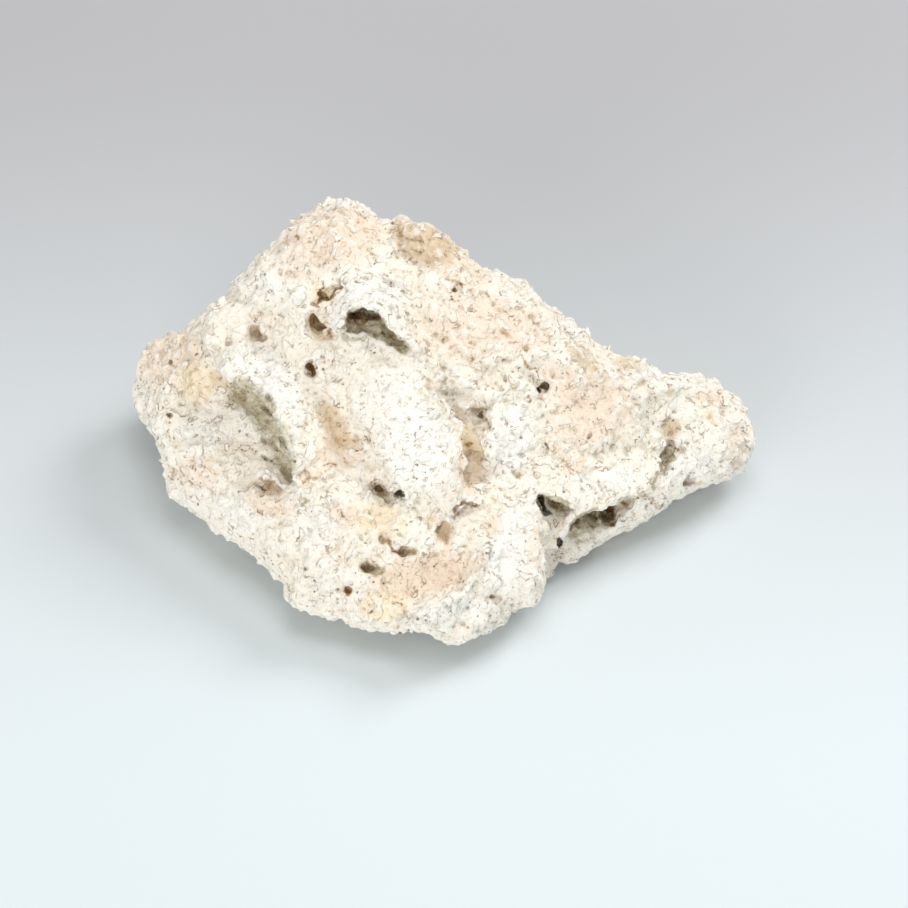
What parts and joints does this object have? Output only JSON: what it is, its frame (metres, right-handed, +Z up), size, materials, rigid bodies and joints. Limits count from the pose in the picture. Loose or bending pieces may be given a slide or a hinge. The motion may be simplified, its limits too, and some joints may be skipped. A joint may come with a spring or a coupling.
{
  "type": "limestone rock",
  "caption": "Pale weathered limestone rock with a peaked crest, an arched hollow, a smooth tongue, a scooped plate and an undercut tail, lying on a worn flat foot.",
  "frame": {"origin": "bottom centre of the rock's box, on the surface it lies on", "axes": "+X along the rock towards its low tail, +Y away from the carved face towards the crest, +Z up"},
  "size_m": [0.127, 0.0884, 0.0522],
  "materials": {
    "limestone": "dry, chalky and rough, with tan and olive stains in its hollows"
  },
  "bodies": {
    "root": {"limestone_rock": "limestone"}
  },
  "joints": []
}
